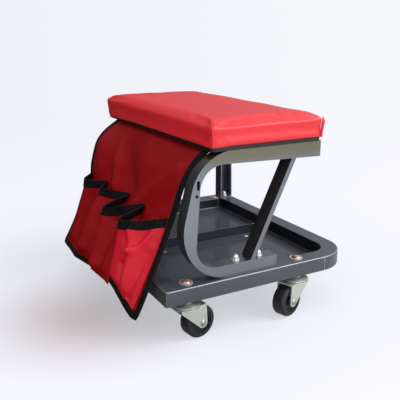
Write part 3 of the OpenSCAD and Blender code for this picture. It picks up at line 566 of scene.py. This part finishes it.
def bagLinePoints():
    knee, hem = bag["knee"], bag["hem"]
    flap = (bag["flapEnd"], boardZ)
    beforeKnee = (knee[0] + bag["kneeLead"][0], knee[1] + bag["kneeLead"][1])
    afterKnee = (knee[0] - bag["kneeLead"][0], knee[1] - bag["kneeLead"][1])
    beforeHem = (hem[0] + bag["hemLead"][0], hem[1] + bag["hemLead"][1])
    points = [(bag["flapStart"] + (bag["flapEnd"] - bag["flapStart"]) * i / 12, boardZ) for i in range(12)]
    points += [bezier(flap, (flap[0] - bag["flapLead"], flap[1]), beforeKnee, knee, i / 60) for i in range(60)]
    points += [bezier(knee, afterKnee, beforeHem, hem, i / 100) for i in range(101)]
    last = Vector(points[-1]) - Vector(points[-2])
    last.normalize()
    points += [tuple(Vector(points[-1]) + last * bag["tail"] * i / 4) for i in range(1, 5)]
    return points


bagLine = bagLinePoints()
bagReach = [0.0]
for first, second in zip(bagLine, bagLine[1:]):
    bagReach.append(bagReach[-1] + math.dist(first, second))


def onLine(reach):
    # a point of the bag's front line, and the direction out of the bag there
    reach = min(max(reach, 0.0), bagReach[-1])
    low, high = 0, len(bagReach) - 1
    while high - low > 1:
        middle = (low + high) // 2
        if bagReach[middle] <= reach:
            low = middle
        else:
            high = middle
    share = (reach - bagReach[low]) / (bagReach[high] - bagReach[low])
    a, b = Vector(bagLine[low]), Vector(bagLine[high])
    before, after = Vector(bagLine[max(low - 2, 0)]), Vector(bagLine[min(high + 2, len(bagLine) - 1)])
    way = (after - before).normalized()
    return a + (b - a) * share, Vector((way.y, -way.x))


def hemReach(share):
    # how far down the line the hem lies, at a share of the bag's width
    height = bag["hem"][1] + valueAlong(bag["hemLine"], share)
    for i in range(len(bagLine) - 1, 0, -1):
        above, below = bagLine[i - 1][1], bagLine[i][1]
        if above >= height >= below and above > below:
            return bagReach[i - 1] + (bagReach[i] - bagReach[i - 1]) * ((above - height) / (above - below))
    return bagReach[-1]


def fold(x, y, start, end, wide, high):
    # a rounded ridge, or a hollow for a negative height, along a straight stretch of the cloth
    a, b = Vector(start), Vector(end)
    point = Vector((x, y))
    t = min(max((point - a).dot(b - a) / (b - a).length_squared, 0), 1)
    off = (point - a - (b - a) * t).length / wide
    return high * math.exp(-off * off)


def drape(share, reach):
    # how far the hanging cloth stands off its smooth line
    total = sum(fold(share * bagWide, reach, (a[0] * bagWide, a[1]), (b[0] * bagWide, b[1]), w, h)
                for a, b, w, h in bag["folds"])
    total += bag["ripple"] * math.sin(share * 13 + reach * 0.018 + 0.6)
    total += bag["crumple"] * noise.noise(Vector((share * 9, reach * 0.03, 4.0)))
    total += bag["farSwell"] * smooth(0.6, 1.0, share) * (smooth(40, 110, reach) - smooth(130, 190, reach))
    free = smooth(30, 110, reach) * total * smooth(0, 0.05, share)
    return free + valueAlong(bag["hemFlare"], share) * smooth(190, bagReach[-1], reach)


def bagPoint(share, reach, out=0.0):
    place, way = onLine(reach)
    off = drape(share, reach) + out
    return at(place.x + way.x * off, bag["near"] + bagWide * share, place.y + way.y * off)


def clothGrid(name, columns, rows, where, finish, thick, size):
    # a sheet laid by where(across, down), with a UV map in metres and a wall to both sides of it
    bm = bmesh.new()
    uv = bm.loops.layers.uv.new("UVMap")
    bmesh.ops.create_grid(bm, x_segments=columns, y_segments=rows, size=0.5)
    for face in bm.faces:
        for loop in face.loops:
            loop[uv].uv = ((loop.vert.co.x + 0.5) * size[0], (loop.vert.co.y + 0.5) * size[1])
    for v in bm.verts:
        v.co = where(v.co.x + 0.5, 0.5 - v.co.y)
    bmesh.ops.reverse_faces(bm, faces=bm.faces)
    obj = finishPiece(name, bm, finish, sharp=180)
    wall = obj.modifiers.new("wall", "SOLIDIFY")
    wall.thickness = thick * mm
    wall.offset = 0.0
    wall.use_even_offset = False
    return obj


def makeBagPanel():
    inset = bag["binding"] * 0.5

    def where(s, t):
        share = inset / bagWide + s * (1 - 2 * inset / bagWide)
        end = hemReach(share) - inset
        return bagPoint(share, 1 + t * (end - 1), -bag["cloth"] / 2)

    obj = clothGrid("bag_cloth", 110, 110, where, "bagNylon", bag["cloth"],
                    (bagWide * mm, bagReach[-1] * mm))
    # the cloth's inner wall is painted nearly black, as painted shade
    obj.data.materials.append(materials["bagInsidePaintedShade"])
    obj.modifiers["wall"].material_offset = 1
    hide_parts("bag_panel")
    print("bag panel made")
    return obj


def sweepBand(bm, path, wide, thick):
    # a closed band with rounded edges along a path of (place, side way, out way)
    uv = bm.loops.layers.uv.verify()
    around = 10
    count = len(path)
    made = bmesh.ops.create_grid(bm, x_segments=count - 1, y_segments=around, size=0.5)["verts"]
    faces = list({f for v in made for f in v.link_faces})
    total = sum((b[0] - a[0]).length for a, b in zip(path, path[1:]))
    for face in faces:
        for loop in face.loops:
            loop[uv].uv = ((loop.vert.co.x + 0.5) * total, (loop.vert.co.y + 0.5) * (2 * wide) * mm)
    for v in made:
        i = round((v.co.x + 0.5) * (count - 1))
        turn = (v.co.y + 0.5) * 2 * math.pi
        place, side, out = path[i]
        a, b = math.cos(turn), math.sin(turn)
        bulge = (abs(a) ** 4 + abs(b) ** 4) ** -0.25  # a squarish oval
        v.co = place + side * (a * bulge * wide / 2 * mm) + out * (b * bulge * thick / 2 * mm)
    bmesh.ops.remove_doubles(bm, verts=made, dist=1e-6)


def bandPath(line):
    # from (share, reach, out) along the bag, the places and ways of a band that lies on its surface
    path = []
    for i, (share, reach, out) in enumerate(line):
        before = bagPoint(*line[max(i - 1, 0)])
        after = bagPoint(*line[min(i + 1, len(line) - 1)])
        way = onLine(reach)[1]
        outward = Vector((way.x, 0, way.y))
        side = (after - before).normalized().cross(outward).normalized()
        path.append((bagPoint(share, reach, out), side, outward))
    return path


def makeBagBinding():
    # down the near edge, along the hem and up the far edge
    inset = bag["binding"] * 0.5
    edge = inset / bagWide
    nearEnd, farEnd = hemReach(edge) - inset, hemReach(1 - edge) - inset
    mid = -bag["cloth"] / 2
    steps = 90
    line = [(edge, 2 + (nearEnd - 2) * i / steps, mid) for i in range(steps + 1)]
    for i in range(1, steps):
        share = edge + (1 - 2 * edge) * i / steps
        line.append((share, hemReach(share) - inset, mid))
    line += [(1 - edge, farEnd + (2 - farEnd) * i / steps, mid) for i in range(steps + 1)]
    bm = bmesh.new()
    sweepBand(bm, bandPath(line), bag["binding"], bag["bindingThick"])
    bmesh.ops.holes_fill(bm, edges=[e for e in bm.edges if e.is_boundary], sides=0)
    bmesh.ops.recalc_face_normals(bm, faces=bm.faces)
    obj = finishPiece("bag_edge_band", bm, "blackBinding", sharp=50)
    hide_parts("bag_binding")
    print("bag binding made")
    return obj


# millimetres, in fours from the nearest pocket: swell and sag of the slack mouth, the share of the swell that
# is lost towards the hem (taper), extra fullness low down (belly), and the bottom's reach past the hem (over)
pockets = {
    "mouth": 165.0, "cloth": 1.4, "band": 16.0, "bandThick": 3.4, "gap": 1.2, "rib": 0.7, "crumple": 1.6,
    "taper": (0.72, 0.6, 0.6, 0.85), "belly": (0.0, 0.0, 9.0, 0.0),
    "swell": (46.0, 41.0, 17.0, 20.0), "sag": (33.0, 34.0, 12.0, 16.0), "over": (-10.0, 4.0, -9.0, -11.0),
    # how full a pocket stands across its mouth, as shares: steep on the far side, where the slack gathers
    "section": ((0, 0), (0.04, 0), (0.15, 0.22), (0.3, 0.48), (0.45, 0.71), (0.6, 0.9), (0.72, 0.99),
                (0.8, 1.0), (0.89, 0.8), (0.96, 0.06), (1, 0)),
    # folds as in the panel, by pocket: share across and share down for both ends, half width and height
    "folds": (
        (((0.52, 0.14), (0.38, 0.42), 5, 4.0), ((0.14, 0.14), (0.37, 0.42), 5, 4.5),
         ((0.38, 0.42), (0.34, 0.90), 8, 6.0), ((0.30, 0.08), (0.36, 0.28), 8, -6.0),
         ((0.14, 0.40), (0.22, 0.95), 8, -6.0), ((0.50, 0.62), (0.38, 0.98), 6, -5.0)),
        (((0.72, 0.15), (0.64, 0.92), 9, 6.0), ((0.40, 0.20), (0.46, 0.90), 8, -5.0),
         ((0.88, 0.30), (0.82, 0.95), 6, -5.0)),
        (((0.68, 0.12), (0.62, 0.90), 8, 3.0), ((0.36, 0.15), (0.42, 0.90), 7, -2.5)),
        (((0.62, 0.12), (0.56, 0.90), 8, 3.0), ((0.32, 0.20), (0.38, 0.90), 7, -2.5)),
    ),
    # width and length that each was cut to
    "cut": ((135, 128), (122, 122), (108, 130), (104, 140)),
}


def roundedSection(share):
    # the section's corners are rounded by an average over a few places close by
    near = (-0.03, -0.015, 0, 0.015, 0.03)
    return sum(valueAlong(pockets["section"], min(max(share + d, 0), 1)) for d in near) / len(near)


def pocketPoint(k, s, t, out=0.0, band=None):
    # s runs along the mouth and t down the pocket; with a band width, t runs down the mouth's band instead
    start = bag["binding"] / bagWide
    pitch = (1 - 2 * start) / 4
    gap = pockets["gap"] / bagWide
    share = start + pitch * k + gap + (pitch - 2 * gap) * s
    sag = pockets["sag"][k] * roundedSection(s)
    deep = hemReach(share) + pockets["over"][k] - pockets["mouth"] - sag
    if band:
        t = (t * band - 1) / deep
        out += pockets["rib"] * math.sin(s * 88) * (k == 0)  # the nearest band is ribbed where it is gathered
    reach = pockets["mouth"] + sag + deep * t
    inside = math.sin(math.pi * min(max(s, 0), 1)) ** 0.7 * (1 - smooth(0.93, 1.0, t))
    full = pockets["swell"][k] * (1 - pockets["taper"][k] * max(t, 0)) + pockets["belly"][k] * smooth(0, 0.4, t)
    full *= 1 - smooth(0.84, 1.0, t) ** 1.5
    crumple = pockets["crumple"] * noise.noise(Vector((s * 3.2 + k * 5, t * 3.5, 1.5))) * inside
    width = pitch * bagWide
    crease = sum(fold(s * width, t * deep, (a[0] * width, a[1] * deep), (b[0] * width, b[1] * deep), w, h)
                 for a, b, w, h in pockets["folds"][k]) * inside
    return bagPoint(share, reach, 1.2 + roundedSection(s) * full + crumple + crease + out)


def makePockets():
    made, bands = [], []
    for k in range(4):
        size = (bagWide / 4 * mm, 0.13)
        # the nearest pocket gets the nylon painted brighter, as painted light
        cloth = clothGrid(f"pocket_cloth_{k + 1}", 72, 64, lambda s, t: pocketPoint(k, s, t),
                          "bagNylon" if k else "pocketNylonPaintedLight", pockets["cloth"], size)
        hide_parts(f"pocket_{k + 1}")
        made.append(cloth)
        band = clothGrid(f"pocket_band_{k + 1}", 72, 5, lambda s, t: pocketPoint(k, s, t, 0.4, pockets["band"]),
                         "blackBinding", pockets["bandThick"],
                         (size[0] * 1.3, pockets["band"] * mm))
        soft = band.modifiers.new("round", "BEVEL")
        soft.width = 0.7 * mm
        soft.segments = 2
        soft.angle_limit = math.radians(50)
        bands.append(band)
    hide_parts("pocket_bindings")
    print("pockets made")
    return made, bands


# the room's colours, with the backdrop a little darker on the left, and how strongly it lights and is mirrored
# away from and towards the key light
room = {"backLeft": "#EDF0F7", "backRight": "#F7F8FC", "backTurn": 0.32, "fill": "#FBF1EC", "sky": "#F6F7FB",
        "fillStrength": (0.66, 1.1), "mirrorStrength": (0.04, 1.1), "toSun": (0.5, -0.6, 0.62)}


def backColour(tree, way):
    aside = math.radians(camera["yaw"])
    across = addNode(tree, "ShaderNodeVectorMath", {"operation": "DOT_PRODUCT"}, {
        0: way, 1: (math.cos(aside), -math.sin(aside), 0)})
    blend = addNode(tree, "ShaderNodeMapRange", {}, {
        "Value": across.outputs["Value"], "From Min": -room["backTurn"], "From Max": room["backTurn"]})
    left, right = linearColour(room["backLeft"]), linearColour(room["backRight"])
    return addNode(tree, "ShaderNodeMix", {"data_type": "RGBA"}, {
        "Factor": blend.outputs[0], 6: left, 7: right}).outputs[2]


def makeRoom():
    scene = bpy.context.scene
    scene.view_settings.view_transform = "Standard"
    world = bpy.data.worlds.new("paleRoom")
    scene.world = world
    world.use_nodes = True
    tree = world.node_tree
    tree.nodes.clear()
    path = addNode(tree, "ShaderNodeLightPath").outputs
    way = addNode(tree, "ShaderNodeTexCoord").outputs["Generated"]
    facing = addNode(tree, "ShaderNodeVectorMath", {"operation": "DOT_PRODUCT"}, {0: way, 1: room["toSun"]})
    skies = []
    for colour, (low, high) in ((room["fill"], room["fillStrength"]), (room["sky"], room["mirrorStrength"])):
        strength = addNode(tree, "ShaderNodeMapRange", {"interpolation_type": "SMOOTHSTEP"}, {
            "Value": facing.outputs["Value"], "From Min": -0.6, "From Max": 0.9, "To Min": low, "To Max": high})
        skies.append(addNode(tree, "ShaderNodeBackground", {}, {
            "Color": linearColour(colour), "Strength": strength.outputs[0]}).outputs[0])
    pale = addNode(tree, "ShaderNodeBackground", {}, {"Color": backColour(tree, way), "Strength": 1.0})
    mirrored = addNode(tree, "ShaderNodeMixShader", {}, {0: path["Is Glossy Ray"], 1: skies[0], 2: skies[1]})
    mix = addNode(tree, "ShaderNodeMixShader", {}, {
        0: path["Is Camera Ray"], 1: mirrored.outputs[0], 2: pale.outputs[0]})
    addNode(tree, "ShaderNodeOutputWorld", {}, {"Surface": mix.outputs[0]})
    print("room made")


# metres. The floor takes a share of the backdrop's colour (lit), so that its shadows are soft, and all of it
# beyond fadeTo. It carries a painted shadow, warm and deeper, left of the bag, and to all rays but the camera's
# it glows as a painted bounce, brightest towards the key light
floorLook = {
    "radius": 40, "base": "#E0E4F2", "roughness": 0.8, "lit": 0.6, "fadeFrom": 0.6, "fadeTo": 2.2,
    "paintedShadow": "#9C7A73", "paintedShadowPlace": (-0.24, -0.05, 0), "paintedShadowReach": 0.25, "deeper": -0.25,
    "bounce": (0.03, 1.0), "bounceWay": (0.5, -0.87, 0), "bounceFrom": -0.2, "bounceTo": 0.65,
}


def makeFloor():
    bm = bmesh.new()
    bmesh.ops.create_circle(bm, cap_ends=True, segments=96, radius=floorLook["radius"])
    mesh = bpy.data.meshes.new("floor")
    bm.to_mesh(mesh)
    bm.free()
    floor = bpy.data.objects.new("floor", mesh)
    bpy.context.scene.collection.objects.link(floor)
    made, tree, shader, place = newMaterial("paleFloor", {
        "Roughness": floorLook["roughness"], "Specular IOR Level": 0.0})
    softly = {"interpolation_type": "SMOOTHSTEP"}
    # painted shadow: a warm dark tone within a reach of a place left of the bag, where more of the floor is lit
    # so its shadow is deeper
    shade = addNode(tree, "ShaderNodeVectorMath", {"operation": "DISTANCE"}, {
        0: place["Object"], 1: floorLook["paintedShadowPlace"]})
    paintedShadow = addNode(tree, "ShaderNodeMapRange", softly, {
        "Value": shade.outputs["Value"], "From Min": 0.0, "From Max": floorLook["paintedShadowReach"],
        "To Min": 1.0, "To Max": 0.0})
    tone = addNode(tree, "ShaderNodeMix", {"data_type": "RGBA"}, {
        "Factor": paintedShadow.outputs[0], 6: linearColour(floorLook["base"]), 7: linearColour(floorLook["paintedShadow"])})
    tree.links.new(tone.outputs[2], shader.inputs["Base Color"])
    far = addNode(tree, "ShaderNodeVectorMath", {"operation": "LENGTH"}, {0: place["Object"]})
    fade = addNode(tree, "ShaderNodeMapRange", softly, {
        "Value": far.outputs["Value"], "From Min": floorLook["fadeFrom"], "From Max": floorLook["fadeTo"],
        "To Min": floorLook["lit"], "To Max": 1.0})
    # the backdrop's own shading carried on over the floor, by the floor's place
    ray = addNode(tree, "ShaderNodeVectorMath", {"operation": "SUBTRACT"}, {
        0: place["Object"], 1: at(*camera["place"])})
    onward = addNode(tree, "ShaderNodeVectorMath", {"operation": "NORMALIZE"}, {0: ray.outputs[0]})
    glow = addNode(tree, "ShaderNodeEmission", {}, {
        "Color": backColour(tree, onward.outputs[0]), "Strength": 1.0})
    deeper = addNode(tree, "ShaderNodeMath", {"operation": "MULTIPLY_ADD"}, {
        0: paintedShadow.outputs[0], 1: floorLook["deeper"], 2: 1.0})
    share = addNode(tree, "ShaderNodeMath", {"operation": "MULTIPLY"}, {
        0: fade.outputs[0], 1: deeper.outputs[0]})
    shown = addNode(tree, "ShaderNodeMixShader", {}, {
        0: share.outputs[0], 1: shader.outputs[0], 2: glow.outputs[0]})
    # painted bounce: to all rays but the camera's the floor glows, brightest towards the key light
    front = addNode(tree, "ShaderNodeVectorMath", {"operation": "DOT_PRODUCT"}, {
        0: place["Object"], 1: floorLook["bounceWay"]})
    bright = addNode(tree, "ShaderNodeMapRange", softly, {
        "Value": front.outputs["Value"], "From Min": floorLook["bounceFrom"], "From Max": floorLook["bounceTo"],
        "To Min": floorLook["bounce"][0], "To Max": floorLook["bounce"][1]})
    bounce = addNode(tree, "ShaderNodeEmission", {}, {
        "Color": linearColour(room["sky"]), "Strength": bright.outputs[0]})
    path = addNode(tree, "ShaderNodeLightPath").outputs
    blend = addNode(tree, "ShaderNodeMixShader", {}, {
        0: path["Is Camera Ray"], 1: bounce.outputs[0], 2: shown.outputs[0]})
    tree.links.new(blend.outputs[0], tree.nodes["Material Output"].inputs["Surface"])
    mesh.materials.append(made)
    print("floor made")


lamps = {
    # name, strength, colour, direction towards it, softness in radians
    "suns": (("keySun", 1.7, "#F6F9FF", (0.62, -0.42, 0.66), 0.6),
             ("frontSun", 0.62, "#FFFFFF", (0.2, -0.95, 0.25), 1.0)),
    # soft boxes, as name, watts, size in metres, place and aim in millimetres: a low one in front lifts the
    # faces of the channel, one at the left the nearest pocket
    "boxes": (("frontBox", 0.2, 0.3, (140, -420, 40), (180, 0, 110)),
              ("leftBox", 0.35, 0.15, (-360, -60, 400), (-10, 80, 150))),
}


def placeLamp(lamp, toward, place=(0, 0, 0)):
    obj = bpy.data.objects.new(lamp.name, lamp)
    bpy.context.scene.collection.objects.link(obj)
    obj.location = place
    obj.rotation_mode = "QUATERNION"
    obj.rotation_quaternion = toward.to_track_quat("Z", "Y")
    return obj


def makeLamps():
    for name, strength, colour, toward, softness in lamps["suns"]:
        lamp = bpy.data.lights.new(name, "SUN")
        lamp.energy = strength
        lamp.angle = softness
        lamp.color = linearColour(colour)[:3]
        placeLamp(lamp, Vector(toward))
    for name, power, size, place, aim in lamps["boxes"]:
        lamp = bpy.data.lights.new(name, "AREA")
        lamp.energy = power
        lamp.size = size
        placeLamp(lamp, at(*place) - at(*aim), at(*place)).visible_camera = False
    print("lamps made")


makeCamera()
makeMaterials()
finishNodes()
makeTray()
makeCushion()
makeTucks()
panel = makeBagPanel()
binding = makeBagBinding()
pocketCloths, pocketBands = makePockets()
makeRoom()
makeFloor()
makeLamps()
